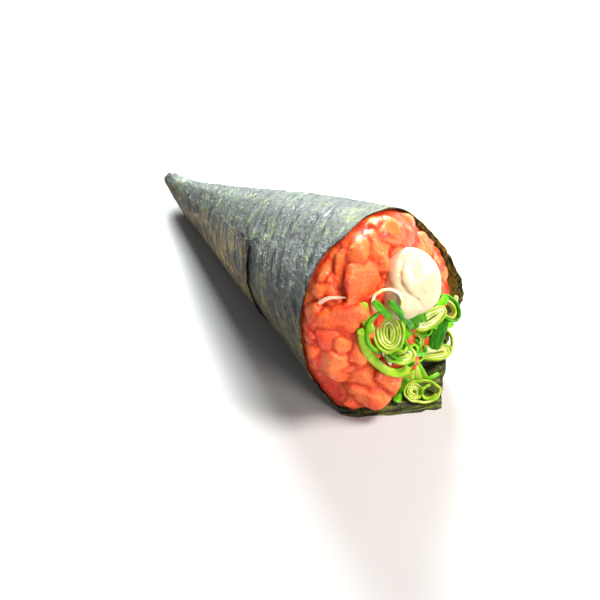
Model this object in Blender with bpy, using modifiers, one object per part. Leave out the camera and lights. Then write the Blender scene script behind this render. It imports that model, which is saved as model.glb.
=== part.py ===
"""Temaki hand roll lying on its side: a cone of rolled nori packed with chopped salmon, with a
dollop of cream cheese and a heap of sliced spring onion on its mouth.

Metres, +Z up. +X runs from the tip to the mouth, and the near side of the roll faces -Y. The origin
is the middle of the footprint, on the surface that the roll lies on.
"""
import math

import bmesh
import bpy
from mathutils import Matrix, Vector, noise

# ---- driving dimensions: metres and radians ----
HALF_ANGLE = math.radians(14.2)     # of the cone; its axis rises as much, so its side lies flat
APEX = Vector((-0.06356, 0.0, 0.0))  # where the cone's sides would meet
TIP_SLANT = 0.0085                  # distances down the side are slants, from the apex
MOUTH_SLANT = 0.1014
FLAP_REACH = 0.071                  # the outer edge of the sheet, from the tip to its corner
FLAP_ANGLE = math.radians(45.0)     # where that edge lies, from the top towards the near side
TURN_COUNT = 1.72222                # of the sheet, from its outer edge to its inner edge
NORI_THICKNESS = 0.00035
LAYER_PITCH = 0.00065               # from one turn of the sheet to the next
CLEARANCE = 0.0003                  # between touching pieces
CUTTER_GROWTH = 0.0004              # leaves that clearance between facets too

BELLY = 0.0009                      # the filling swells the cone between these slants
BELLY_START = 0.035
BELLY_END = 0.098
PINCH = 0.0003                      # the far side of the mouth leans in
PINCH_START = 0.8                   # of the way to the mouth
SETTLE = 0.0010                     # how far the weight flattens the underside at the mouth
DROOP = 0.0035                      # how far the loose lower edge of the mouth sags
DROOP_START = 0.75                  # of the way to the mouth
TIP_LIFT = 0.0035                   # the tip curls up off the surface
TIP_LIFT_LENGTH = 0.018
TIP_BEND_SLANT = 0.016
TIP_FULLNESS = 0.0004               # the roll is looser, and so fuller, behind its tip
TIP_FULL_SLANT = 0.030
TIP_FULL_LENGTH = 0.014
TIP_STAGGER = 0.0030                # how far back each inner turn starts from the one over it

TONGUE_LENGTH = 0.0190              # the sheet's corner that sticks out under the filling
TONGUE_CORNER = (185.0, 60.0, 42.0)  # its centre, and its width to each side, in degrees
RIM_SWELLS = (                      # height, centre and width in degrees
    (0.0075, 241.0, 30.0),          # the torn leaf on the far side
    (-0.0030, 305.0, 25.0),         # the dip above it
    (0.0018, 14.0, 12.0),
    (0.0018, 92.0, 18.0),
)
INNER_RIM_DROP = 0.0008             # the inner turn ends a little lower
FACE_INSETS = (                     # depth of the face below the rim, centre and width in degrees
    (0.0150, 194.0, 32.0),          # behind the tongue
    (0.0045, 265.0, 40.0),          # inside the leaf
)
RIM_CLEARANCE = 0.0002

FILLING_START = 0.020               # slant where the filling begins
FACE_BULGE = 0.0105                 # how far the filling domes out of the mouth
FACE_FULLNESS = 0.80                # below 1 the dome is squarer than an ellipse
CHUNK_SIZE = 0.0085                 # of the chopped salmon
CREVICE_DEPTH = 0.0028              # between the chunks on the face

DOLLOP_HALF_SIZE = Vector((0.0078, 0.0106, 0.0068))   # across the mouth, up it, and out of it
DOLLOP_PLACE = (0.0024, 0.0088, 0.0108)               # from the face's centre, in the same senses
HEAP_HALF_SIZE = Vector((0.0138, 0.0140, 0.0056))
HEAP_PLACE = (0.0016, -0.0112, 0.0085)

COLUMNS_PER_TURN = 36
SHEET_ROWS = 9                      # from the filling's start to the rim
FILLING_COLUMNS = 52
FACE_RINGS = 11

AXIS = Vector((math.cos(HALF_ANGLE), 0.0, math.sin(HALF_ANGLE)))
TOP = Vector((-math.sin(HALF_ANGLE), 0.0, math.cos(HALF_ANGLE)))
NEAR = Vector((0.0, -1.0, 0.0))


# ---- scene and materials ----
def clear_scene():
    for old in list(bpy.data.objects):
        bpy.data.objects.remove(old, do_unlink=True)


def make_collection(name):
    collection = bpy.data.collections.new(name)
    bpy.context.scene.collection.children.link(collection)
    return collection


def make_material(name, color, roughness, metallic=0.0):
    material = bpy.data.materials.new(name)
    material.use_nodes = True
    shader = material.node_tree.nodes["Principled BSDF"]
    shader.inputs["Base Color"].default_value = (*color, 1.0)
    shader.inputs["Roughness"].default_value = roughness
    shader.inputs["Metallic"].default_value = metallic
    return material


def add_object(name, bm, material, collection):
    bmesh.ops.recalc_face_normals(bm, faces=bm.faces)
    mesh = bpy.data.meshes.new(name)
    bm.to_mesh(mesh)
    bm.free()
    mesh.shade_smooth()
    mesh.materials.append(material)
    obj = bpy.data.objects.new(name, mesh)
    collection.objects.link(obj)
    return obj


# ---- the form of the cone ----
def turned(angle, centre):
    """How far an angle lies from a centre, in degrees between -180 and 180."""
    return (math.degrees(angle) - centre + 180.0) % 360.0 - 180.0


def swell(angle, centre, width):
    """A smooth rise of height 1 at a centre, in degrees."""
    return math.exp(-(turned(angle, centre) / width) ** 2)


def corner(angle, centre, left, right):
    """A pointed rise of height 1, as the corner of a sheet makes."""
    offset = turned(angle, centre)
    width = left if offset < 0.0 else right
    return max(0.0, 1.0 - abs(offset) / width)


def mouth_slant(angle):
    """The rim of the mouth: even on the near side, a tongue below and a dip on the far side."""
    slant = MOUTH_SLANT + TONGUE_LENGTH * corner(angle, *TONGUE_CORNER)
    return slant + sum(height * swell(angle, centre, width) for height, centre, width in RIM_SWELLS)


def wrap_point(angle, slant, depth, floor):
    """A point at a depth under the outer skin of the roll, and no lower than a floor."""
    along = max(0.0, (slant - BELLY_START) / (BELLY_END - BELLY_START))
    belly = BELLY * math.sin(math.pi * along)
    reached = slant / MOUTH_SLANT
    pinch = PINCH * swell(angle, 300.0, 45.0) * max(0.0, reached - PINCH_START) / (1.0 - PINCH_START)
    fullness = TIP_FULLNESS * math.exp(-((slant - TIP_FULL_SLANT) / TIP_FULL_LENGTH) ** 2)
    radius = slant * math.sin(HALF_ANGLE) + belly + fullness - pinch - depth
    point = APEX + AXIS * (slant * math.cos(HALF_ANGLE))
    point += (TOP * math.cos(angle) + NEAR * math.sin(angle)) * radius
    point.z += 0.3 * belly + fullness - SETTLE * reached
    loose = max(0.0, (reached - DROOP_START) / (1.0 - DROOP_START))
    droop = DROOP * min(loose, 1.3) ** 2
    point.z -= droop * swell(angle, 150.0, 42.0)
    point += NEAR * (0.5 * droop * swell(angle, 145.0, 25.0))
    tip = max(0.0, 1.0 - (slant - TIP_SLANT) / TIP_LIFT_LENGTH)
    point.z = max(point.z, floor) + TIP_LIFT * tip ** 2
    return point


# ---- nori ----
def smooth_step(value):
    share = min(1.0, max(0.0, value))
    return share * share * (3.0 - 2.0 * share)


def flap_rim(angle):
    """The slant of the sheet's straight side edge, a line on the sheet before it is rolled."""
    unrolled = (angle - FLAP_ANGLE) * math.sin(HALF_ANGLE)
    if unrolled > math.radians(80.0):
        return math.inf
    return FLAP_REACH / math.cos(unrolled)


def sheet_rim(angle):
    """The slant of the sheet's rim; the first turn ends at the flap's straight side edge."""
    turn = (angle - FLAP_ANGLE) / math.tau
    rim = mouth_slant(angle)
    if turn > 1.0:
        rim -= INNER_RIM_DROP * min(1.0, (turn - 1.0) * 6.0)
    chipped = 0.003 * math.exp(-turn * 30.0)
    return min(rim, flap_rim(angle) - chipped)


def sheet_point(angle, slant):
    """A point of the sheet's middle; past the flap's edge the turn below takes the flap's place."""
    turn = (angle - FLAP_ANGLE) / math.tau
    past_flap = smooth_step((slant - flap_rim(angle - math.tau) - 0.003) / 0.010)
    relaxed = past_flap * smooth_step((turn - 1.0) / 0.15)
    depth = 0.5 * NORI_THICKNESS + LAYER_PITCH * (turn - relaxed)
    floor = 0.5 * NORI_THICKNESS + LAYER_PITCH * max(0.0, math.floor(turn) - relaxed)
    return wrap_point(angle, slant, depth, floor)


def sheet_slants(angle):
    """Slants of the rows of one column: close together where the tip curls, then even."""
    turn = (angle - FLAP_ANGLE) / math.tau
    start = TIP_SLANT + TIP_STAGGER * max(0.0, turn - 1.0)
    slants = [start, 0.5 * (start + TIP_BEND_SLANT), TIP_BEND_SLANT, FILLING_START]
    rim = sheet_rim(angle)
    for row in range(1, SHEET_ROWS + 1):
        slants.append(FILLING_START + (rim - FILLING_START) * row / SHEET_ROWS)
    return slants


def make_nori(material, collection):
    bm = bmesh.new()
    columns = []
    for step in range(round(TURN_COUNT * COLUMNS_PER_TURN) + 1):
        angle = FLAP_ANGLE + step * math.tau / COLUMNS_PER_TURN
        columns.append([bm.verts.new(sheet_point(angle, s)) for s in sheet_slants(angle)])
    for left, right in zip(columns, columns[1:]):
        for row in range(len(left) - 1):
            bm.faces.new((left[row], right[row], right[row + 1], left[row + 1]))
    sheet = add_object("nori_wrap", bm, material, collection)
    solidify = sheet.modifiers.new("Solidify", "SOLIDIFY")
    solidify.thickness = NORI_THICKNESS
    solidify.offset = 0.0
    return sheet


# ---- salmon ----
FILLING_DEPTH = TURN_COUNT * LAYER_PITCH + NORI_THICKNESS + CLEARANCE


def filling_wall(angle, slant):
    return wrap_point(angle, slant, FILLING_DEPTH, FILLING_DEPTH)


def face_slant(angle):
    """Where the face of the filling leaves the wall, short of the rim below and on the far side."""
    inset = sum(depth * swell(angle, centre, width) for depth, centre, width in FACE_INSETS)
    return mouth_slant(angle) - RIM_CLEARANCE - inset


def crevice(point):
    """0 on the chunks of salmon, rising to 1 along the gaps between them."""
    nearest = noise.voronoi(point / CHUNK_SIZE)[0]
    return max(0.0, 1.0 - (nearest[1] - nearest[0]) / 0.45)


def face_point(angle, rise, centre, crevice_depth):
    """A point of the domed face; rise goes from 0 at the wall to a quarter turn at the middle."""
    wall = filling_wall(angle, face_slant(angle))
    point = centre + (wall - centre) * math.cos(rise) ** FACE_FULLNESS
    point += AXIS * (FACE_BULGE * math.sin(rise))
    inward = (centre - AXIS * 0.02 - point).normalized()
    return point + inward * (crevice_depth * crevice(point) * math.sin(rise) ** 0.5)


def face_centre():
    ring = [step * math.tau / FILLING_COLUMNS for step in range(FILLING_COLUMNS)]
    walls = [filling_wall(angle, face_slant(angle)) for angle in ring]
    return sum(walls, Vector()) / len(walls)


def ring_of(bm, points):
    return [bm.verts.new(point) for point in points]


def bridge(bm, lower, upper):
    for index in range(len(lower)):
        following = (index + 1) % len(lower)
        bm.faces.new((lower[index], lower[following], upper[following], upper[index]))


def fan(bm, ring, tip):
    for index in range(len(ring)):
        bm.faces.new((ring[index], ring[(index + 1) % len(ring)], tip))


def filling_mesh(centre, crevice_depth=CREVICE_DEPTH):
    """The filling runs down the cone from its domed face to its blunt inner end."""
    bm = bmesh.new()
    angles = [step * math.tau / FILLING_COLUMNS for step in range(FILLING_COLUMNS)]
    rings = []
    for row in range(SHEET_ROWS + 1):
        share = row / SHEET_ROWS
        slants = [FILLING_START + (face_slant(a) - FILLING_START) * share for a in angles]
        rings.append(ring_of(bm, [filling_wall(a, s) for a, s in zip(angles, slants)]))
    for ring in range(1, FACE_RINGS):
        rise = 0.5 * math.pi * ring / FACE_RINGS
        rings.append(ring_of(bm, [face_point(a, rise, centre, crevice_depth) for a in angles]))
    for lower, upper in zip(rings, rings[1:]):
        bridge(bm, lower, upper)
    inner_end = sum((v.co for v in rings[0]), Vector()) / FILLING_COLUMNS
    fan(bm, rings[0], bm.verts.new(inner_end))
    fan(bm, rings[-1], bm.verts.new(face_point(0.0, 0.5 * math.pi, centre, crevice_depth)))
    return bm


def make_cutter(name, bm, collection):
    """A slightly larger copy, which keeps its neighbours off the piece."""
    bmesh.ops.recalc_face_normals(bm, faces=bm.faces)
    bm.normal_update()
    for vert in bm.verts:
        vert.co += vert.normal * CUTTER_GROWTH
    mesh = bpy.data.meshes.new(name)
    bm.to_mesh(mesh)
    bm.free()
    cutter = bpy.data.objects.new(name, mesh)
    cutter.hide_render = True
    cutter.display_type = "WIRE"
    collection.objects.link(cutter)
    return cutter


def cut_by(obj, cutter):
    boolean = obj.modifiers.new(cutter.name, "BOOLEAN")
    boolean.operation = "DIFFERENCE"
    boolean.solver = "EXACT"
    boolean.object = cutter


# ---- toppings ----
def seat_frame(centre, far, up, out):
    """A frame on the face: X towards the far side, Y up the mouth and Z out of it."""
    far_side = -NEAR
    place = centre + far_side * far + TOP * up + AXIS * out
    axes = Matrix((far_side, TOP, AXIS)).transposed().to_4x4()
    return Matrix.Translation(place) @ axes


def dollop_mesh(centre):
    """A spooned egg of cream cheese with a smooth hollow on its crown and a lobe at its near side."""
    bm = bmesh.new()
    bmesh.ops.create_icosphere(bm, subdivisions=4, radius=1.0)
    for vert in bm.verts:
        x, y, z = vert.co
        crown = math.exp(-((x - 0.15) / 0.55) ** 2 - ((y - 0.1) / 0.6) ** 2) * max(0.0, z)
        fold = math.exp(-((x + 0.62) / 0.13) ** 2) * max(0.0, z)
        z = z * (1.0 - 0.16 * crown) - 0.14 * fold
        x -= 0.35 * math.exp(-((y + 0.35) / 0.35) ** 2) * max(0.0, -x)
        vert.co = Vector((x * DOLLOP_HALF_SIZE.x, y * DOLLOP_HALF_SIZE.y, z * DOLLOP_HALF_SIZE.z))
    bm.transform(seat_frame(centre, *DOLLOP_PLACE))
    return bm


def kept_inside(point):
    """The point, or the nearest one on the same spoke of the cone that clears the nori."""
    along = (point - APEX).dot(AXIS)
    hub = APEX + AXIS * along
    spoke = point - hub
    angle = math.atan2(spoke.dot(NEAR), spoke.dot(TOP))
    depth = FILLING_DEPTH + CLEARANCE
    wall = wrap_point(angle, along / math.cos(HALF_ANGLE), depth, depth)
    if spoke.length > (wall - hub).length:
        return wall
    return point


def heap_mesh(centre):
    """The heap of rings and shreds, one uneven mound that runs down towards the tongue."""
    bm = bmesh.new()
    bmesh.ops.create_icosphere(bm, subdivisions=4, radius=1.0)
    for vert in bm.verts:
        lumps = noise.noise(vert.co * 2.6) * 0.30
        x, y, z = vert.co * (1.0 + lumps)
        vert.co = Vector((x * HEAP_HALF_SIZE.x, y * HEAP_HALF_SIZE.y, z * HEAP_HALF_SIZE.z))
    bm.transform(seat_frame(centre, *HEAP_PLACE))
    for vert in bm.verts:
        vert.co = kept_inside(vert.co)
    return bm


def build():
    clear_scene()
    parts = make_collection("temaki_hand_roll")
    cutters = make_collection("cutters")
    nori_green = make_material("nori", (0.035, 0.050, 0.030), 0.45)
    salmon_orange = make_material("salmon", (0.85, 0.22, 0.08), 0.30)
    cream_white = make_material("cream_cheese", (0.95, 0.87, 0.68), 0.45)
    onion_green = make_material("spring_onion", (0.20, 0.42, 0.05), 0.35)

    centre = face_centre()
    make_nori(nori_green, parts)
    add_object("salmon_filling", filling_mesh(centre), salmon_orange, parts)
    dollop = add_object("cream_cheese", dollop_mesh(centre), cream_white, parts)
    heap = add_object("spring_onion", heap_mesh(centre), onion_green, parts)

    salmon_cutter = make_cutter("salmon_cutter", filling_mesh(centre, crevice_depth=0.0), cutters)
    dollop_cutter = make_cutter("dollop_cutter", dollop_mesh(centre), cutters)
    cut_by(dollop, salmon_cutter)
    cut_by(heap, salmon_cutter)
    cut_by(heap, dollop_cutter)


build()
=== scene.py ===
"""The looks of the salmon temaki hand roll: nori, chopped salmon, cream cheese and spring onion.

Metres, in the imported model's frame: +X runs from the tip to the mouth, and the near side faces -Y.
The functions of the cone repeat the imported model's own form.
"""

import math
import random

import bmesh
import bpy
import numpy as np
from mathutils import Matrix, Vector, noise
from mathutils.bvhtree import BVHTree


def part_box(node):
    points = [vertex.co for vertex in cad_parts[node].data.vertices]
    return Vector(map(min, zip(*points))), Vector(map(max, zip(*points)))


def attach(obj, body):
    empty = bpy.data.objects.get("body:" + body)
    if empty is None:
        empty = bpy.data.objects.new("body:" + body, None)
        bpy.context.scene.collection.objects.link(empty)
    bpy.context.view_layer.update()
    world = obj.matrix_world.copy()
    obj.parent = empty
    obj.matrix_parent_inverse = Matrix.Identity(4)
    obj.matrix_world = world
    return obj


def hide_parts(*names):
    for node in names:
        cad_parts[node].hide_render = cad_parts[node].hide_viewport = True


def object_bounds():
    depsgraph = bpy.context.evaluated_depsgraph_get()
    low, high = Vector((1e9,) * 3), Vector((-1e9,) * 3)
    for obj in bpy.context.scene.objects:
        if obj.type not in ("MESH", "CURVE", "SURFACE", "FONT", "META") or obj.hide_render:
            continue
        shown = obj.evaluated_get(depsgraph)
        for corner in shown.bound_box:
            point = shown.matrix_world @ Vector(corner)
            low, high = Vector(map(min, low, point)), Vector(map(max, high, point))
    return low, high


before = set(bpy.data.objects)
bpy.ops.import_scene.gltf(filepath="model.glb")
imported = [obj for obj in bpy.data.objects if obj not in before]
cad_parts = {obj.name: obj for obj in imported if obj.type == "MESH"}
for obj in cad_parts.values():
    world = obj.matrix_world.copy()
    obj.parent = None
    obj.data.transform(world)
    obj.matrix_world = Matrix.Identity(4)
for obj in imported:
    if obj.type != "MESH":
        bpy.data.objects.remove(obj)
CAD_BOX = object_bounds()
NORI_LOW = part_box("nori_wrap")[0]
TABLE = CAD_BOX[0][2]  # the height of what the roll lies on

MM = 0.001

# ---- the form of the cone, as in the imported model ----
HALF_ANGLE = math.radians(14.2)
TIP_REACH = 7.62 * MM  # from the apex of the cone to the tip of the sheet
APEX = Vector((NORI_LOW.x - TIP_REACH, 0.0, NORI_LOW.z))
TIP_SLANT = 8.5 * MM
MOUTH_SLANT = 101.4 * MM
FLAP_REACH = 71.0 * MM
FLAP_ANGLE = math.radians(45.0)
TURN_COUNT = 1.72222
BELLY = 0.9 * MM
BELLY_START = 35.0 * MM
BELLY_END = 98.0 * MM
PINCH = 0.3 * MM
PINCH_START = 0.8
PINCH_AT = (300.0, 45.0)  # centre and width in degrees
SETTLE = 1.0 * MM
DROOP = 3.5 * MM
DROOP_START = 0.75
DROOP_AT = (150.0, 42.0)
OVERHANG_AT = (145.0, 25.0)
TIP_LIFT = 3.5 * MM
TIP_LIFT_LENGTH = 18.0 * MM
TIP_FULLNESS = 0.4 * MM
TIP_FULL_SLANT = 30.0 * MM
TIP_FULL_LENGTH = 14.0 * MM
TIP_STAGGER = 3.0 * MM
TONGUE_LENGTH = 19.0 * MM
TONGUE_CORNER = (185.0, 60.0, 42.0)
RIM_SWELLS = (  # height, centre and width in degrees
    (7.5 * MM, 241.0, 30.0),
    (-3.0 * MM, 305.0, 25.0),
    (1.8 * MM, 14.0, 12.0),
    (1.8 * MM, 92.0, 18.0),
)
INNER_RIM_DROP = 0.8 * MM
FACE_INSETS = (  # depth, centre and width in degrees
    (15.0 * MM, 194.0, 32.0),
    (4.5 * MM, 265.0, 40.0),
)
RIM_CLEARANCE = 0.2 * MM
FILLING_START = 20.0 * MM
FACE_FULLNESS = 0.8
FACE_BULGE = 10.5 * MM

# ---- the finer sizes of the looks ----
SHEET_THICKNESS = 0.24 * MM
LAYER_PITCH = 0.38 * MM
FILLING_DEPTH = 1.05 * MM  # under the outer skin
CORE_BULGE = 7.2 * MM  # of the core under the chunks of salmon
CORE_START = 72.0 * MM  # how far down the cone the pieces of salmon are packed
COLUMNS = 52  # round the filling
DOME_ROWS = 10  # from the rim to the middle of its face
CHUNK_SHARPNESS = 7.5  # a higher power makes crisper edges
SMALL_CHUNK = 2.4 * MM  # a shorter half length needs only a coarse mesh
FLESH_GRAIN = 1.6 * MM
DOME_RADIUS = 23.0  # of the part of the face that chunks are strewn over, in millimetres
VOXEL = 0.35 * MM

AXIS = Vector((math.cos(HALF_ANGLE), 0.0, math.sin(HALF_ANGLE)))
TOP = Vector((-math.sin(HALF_ANGLE), 0.0, math.cos(HALF_ANGLE)))
NEAR = Vector((0.0, -1.0, 0.0))
FAR = -NEAR
UP = Vector((0.0, 0.0, 1.0))
LEAN = Vector((0.528, -0.451, 0.719))  # the way that the toppings are piled: out, to the near side and up

# ---- camera, lights and floor ----
VIEW_AZIMUTH = math.radians(49.5)
VIEW_HEIGHT = math.radians(46.0)
VIEW_DISTANCE = 412.0 * MM
VIEW_AHEAD = 66.4 * MM  # the camera aims at a point this far from the apex
LIGHT_AIM = Vector((0.0, 0.0, 20.0 * MM))
FLOOR_HALF = 1.5


def set_camera():
    back = Vector((math.sin(VIEW_AZIMUTH), -math.cos(VIEW_AZIMUTH), math.tan(VIEW_HEIGHT))).normalized()
    target = Vector((APEX.x + VIEW_AHEAD, 0.0, 0.0))
    data = bpy.data.cameras.new("camera")
    data.lens = 90.0
    data.clip_start = 0.01
    camera = linked("camera", data)
    camera.location = target + back * VIEW_DISTANCE
    camera.rotation_euler = back.to_track_quat("Z", "Y").to_euler()
    bpy.context.scene.camera = camera


def area_light(name, direction, distance, size, power, color):
    data = bpy.data.lights.new(name, "AREA")
    data.shape = "RECTANGLE"
    data.size, data.size_y = size
    data.energy = power
    data.color = color
    light = linked(name, data)
    toward = Vector(direction).normalized()
    light.location = toward * distance + LIGHT_AIM
    light.rotation_euler = toward.to_track_quat("Z", "Y").to_euler()


def set_lights():
    scene = bpy.context.scene
    scene.view_settings.view_transform = "Standard"
    world = bpy.data.worlds.new("studio")
    world.use_nodes = True
    background = world.node_tree.nodes["Background"]
    background.inputs["Color"].default_value = (1.0, 1.0, 1.0, 1.0)
    background.inputs["Strength"].default_value = 0.21
    scene.world = world
    area_light("key", (0.34, 0.42, 0.88), 0.75, (0.26, 0.26), 9.0, (1.0, 0.97, 0.93))
    area_light("rim", (-0.83, 0.58, 0.44), 0.8, (0.42, 0.24), 35.0, (0.91, 1.0, 0.98))
    area_light("fill", (1.0, 0.05, 0.5), 0.9, (0.4, 0.4), 5.0, (1.0, 0.96, 0.92))


# ---- node helpers ----
def new_material(name):
    material = bpy.data.materials.new(name)
    material.use_nodes = True
    return material, material.node_tree, material.node_tree.nodes["Principled BSDF"]


def connect(target, inputs):
    """Links each input of a node to a socket, or sets it to a value."""
    for key, value in inputs.items():
        if isinstance(value, bpy.types.NodeSocket):
            target.id_data.links.new(value, target.inputs[key])
        else:
            target.inputs[key].default_value = value


def node(tree, kind, inputs=None, **settings):
    made = tree.nodes.new(kind)
    for key, value in settings.items():
        setattr(made, key, value)
    connect(made, inputs or {})
    return made


def attribute(tree, name, output="Fac"):
    return node(tree, "ShaderNodeAttribute", attribute_name=name).outputs[output]


def place(tree):
    return node(tree, "ShaderNodeTexCoord").outputs["Object"]


# The helpers below take a socket first, and add their node to that socket's own tree.
def noise_of(vector, scale, detail=3.0, roughness=0.55, distortion=0.0):
    made = node(vector.id_data, "ShaderNodeTexNoise", {
        "Vector": vector, "Scale": scale, "Detail": detail,
        "Roughness": roughness, "Distortion": distortion,
    })
    return made.outputs["Fac"]


def stretched(vector, scale, shift=(0.0, 0.0, 0.0)):
    inputs = {"Vector": vector, "Scale": scale, "Location": shift}
    return node(vector.id_data, "ShaderNodeMapping", inputs).outputs["Vector"]


def between(value, low, high, to_low=0.0, to_high=1.0):
    made = node(value.id_data, "ShaderNodeMapRange", {
        "Value": value, "From Min": low, "From Max": high, "To Min": to_low, "To Max": to_high,
    }, interpolation_type="SMOOTHSTEP")
    return made.outputs["Result"]


def math_of(first, operation, second):
    made = node(first.id_data, "ShaderNodeMath", {0: first, 1: second}, operation=operation)
    return made.outputs["Value"]


def plus(first, second):
    return math_of(first, "ADD", second)


def times(first, second):
    return math_of(first, "MULTIPLY", second)


def rgba(color):
    return color if isinstance(color, bpy.types.NodeSocket) else (*color, 1.0)


def mixed(share, first, second):
    made = node(share.id_data, "ShaderNodeMix", data_type="RGBA")
    connect(made, {0: share, 6: rgba(first), 7: rgba(second)})
    return made.outputs[2]


def ramp(value, stops):
    made = node(value.id_data, "ShaderNodeValToRGB", {"Fac": value})
    band = made.color_ramp
    while len(band.elements) < len(stops):
        band.elements.new(0.5)
    for element, (position, color) in zip(band.elements, stops):
        element.position = position
        element.color = rgba(color)
    return made.outputs["Color"]


def bump(height, distance, strength=1.0, below=None):
    inputs = {"Height": height, "Distance": distance, "Strength": strength}
    if below is not None:
        inputs["Normal"] = below
    return node(height.id_data, "ShaderNodeBump", inputs).outputs["Normal"]


# ---- small mathematics ----
def wave(x, y, z):
    return noise.noise(Vector((x, y, z)))


def spun(direction, angle, axis):
    return Matrix.Rotation(angle, 3, axis) @ direction


def scatter(draw, spread):
    return Vector([draw.gauss(0.0, spread) for _ in range(3)])


def turned(angle, centre):
    return (math.degrees(angle) - centre + 180.0) % 360.0 - 180.0


def swell(angle, centre, width):
    return math.exp(-(turned(angle, centre) / width) ** 2)


def corner(angle, centre, left, right):
    offset = turned(angle, centre)
    width = left if offset < 0.0 else right
    return max(0.0, 1.0 - abs(offset) / width)


def smooth_step(value):
    share = min(1.0, max(0.0, value))
    return share * share * (3.0 - 2.0 * share)


def smooth_max(first, second, softness):
    gap = max(softness - abs(first - second), 0.0) / softness
    return max(first, second) + gap * gap * softness * 0.25


# ---- mesh helpers ----
def new_mesh(name, vertices, faces):
    mesh = bpy.data.meshes.new(name)
    mesh.from_pydata([tuple(v) for v in vertices], [], faces)
    return mesh


def vectors_of(mesh, name):
    """The places ("co") or the normals ("normal") of the mesh's points."""
    values = np.empty(len(mesh.vertices) * 3, np.float32)
    mesh.vertices.foreach_get(name, values)
    return values.reshape(-1, 3).astype(float)


def move_points(mesh, points):
    mesh.vertices.foreach_set("co", np.asarray(points, np.float32).reshape(-1))
    mesh.update()


def set_values(mesh, **layers):
    """Gives every point of the mesh a number or a vector under each name."""
    for name, values in layers.items():
        values = np.asarray(values, np.float32)
        kind, key = ("FLOAT", "value") if values.ndim == 1 else ("FLOAT_VECTOR", "vector")
        mesh.attributes.new(name, kind, "POINT").data.foreach_set(key, values.reshape(-1))


def add_mesh(name, mesh, material, replaced):
    """Adds one piece of the model; nothing of it sinks below the table."""
    points = vectors_of(mesh, "co")
    points[:, 2] = np.maximum(points[:, 2], TABLE)
    move_points(mesh, points)
    mesh.shade_smooth()
    mesh.materials.append(material)
    piece = linked(name, mesh)
    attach(piece, "root")
    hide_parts(replaced)
    return piece


def add_piece(name, vertices, faces, material, replaced):
    mesh = new_mesh(name, vertices, faces)
    mesh.validate()
    return add_mesh(name, mesh, material, replaced)


def evaluated(obj):
    """The object's mesh with its modifiers applied; the object itself is removed."""
    graph = bpy.context.evaluated_depsgraph_get()
    mesh = bpy.data.meshes.new_from_object(obj.evaluated_get(graph))
    bpy.data.objects.remove(obj, do_unlink=True)
    return mesh


def linked(name, data):
    obj = bpy.data.objects.new(name, data)
    bpy.context.scene.collection.objects.link(obj)
    return obj


# ---- the form of the cone ----
def mouth_slant(angle):
    slant = MOUTH_SLANT + TONGUE_LENGTH * corner(angle, *TONGUE_CORNER)
    return slant + sum(height * swell(angle, centre, width) for height, centre, width in RIM_SWELLS)


def wrap_point(angle, slant, depth, floor):
    along = max(0.0, (slant - BELLY_START) / (BELLY_END - BELLY_START))
    belly = BELLY * math.sin(math.pi * along)
    reached = slant / MOUTH_SLANT
    pinch = PINCH * swell(angle, *PINCH_AT) * max(0.0, reached - PINCH_START) / (1.0 - PINCH_START)
    fullness = TIP_FULLNESS * math.exp(-((slant - TIP_FULL_SLANT) / TIP_FULL_LENGTH) ** 2)
    radius = slant * math.sin(HALF_ANGLE) + belly + fullness - pinch - depth
    point = APEX + AXIS * (slant * math.cos(HALF_ANGLE))
    point += (TOP * math.cos(angle) + NEAR * math.sin(angle)) * radius
    point.z += 0.3 * belly + fullness - SETTLE * reached
    loose = max(0.0, (reached - DROOP_START) / (1.0 - DROOP_START))
    droop = DROOP * min(loose, 1.3) ** 2
    point.z -= droop * swell(angle, *DROOP_AT)
    point += NEAR * (0.5 * droop * swell(angle, *OVERHANG_AT))
    tip = max(0.0, 1.0 - (slant - TIP_SLANT) / TIP_LIFT_LENGTH)
    point.z = max(point.z, floor) + TIP_LIFT * tip ** 2
    return point


# ---- nori ----
OUTER_STEP = math.radians(1.6)  # between the columns of the turn that shows
INNER_STEP = math.radians(3.2)
SHEET_ROWS = 100
FIBRE_SWIRL = 7.0  # the fibres wind round the cone by this for each e-fold of slant
FLAP_SPAN = math.radians(80.0)  # of the unrolled sheet that its outer edge can cross


def turn_of(angle):
    return (angle - FLAP_ANGLE) / math.tau


def flap_rim(angle):
    unrolled = (angle - FLAP_ANGLE) * math.sin(HALF_ANGLE)
    if unrolled > FLAP_SPAN:
        return math.inf
    return FLAP_REACH / math.cos(unrolled)


def fibre_place(angle, slant, across, along):
    """Coordinates that follow the fibres: fine across them and slow along them."""
    grown = math.log(slant / MOUTH_SLANT)
    wound = angle - FIBRE_SWIRL * grown
    return Vector((across * math.cos(wound), across * math.sin(wound), along * grown))


def tornness(angle):
    """How ragged the rim is: neat on the near side, torn along the tongue and the far leaf."""
    return 0.3 + 1.2 * swell(angle, 190.0, 45.0) + 1.3 * swell(angle, 245.0, 35.0)


def sheet_rim(angle):
    turn = turn_of(angle)
    rim = mouth_slant(angle)
    if turn > 1.0:
        rim -= INNER_RIM_DROP * min(1.0, (turn - 1.0) * 6.0)
    chipped = 3.0 * MM * math.exp(-turn * 30.0)
    along = angle * MOUTH_SLANT * math.sin(HALF_ANGLE)
    coarse = along / (2.6 * MM)
    fine = along / (0.9 * MM)
    notches = 0.55 * wave(coarse, turn, 3.1) + 0.35 * wave(fine, turn, 7.7)
    rim += notches * MM * tornness(angle)
    flap = flap_rim(angle) - chipped + (0.9 * wave(coarse, 5.5, 1.3) + 0.5 * wave(fine, 9.5, 4.3)) * MM
    return min(rim, flap)


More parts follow.
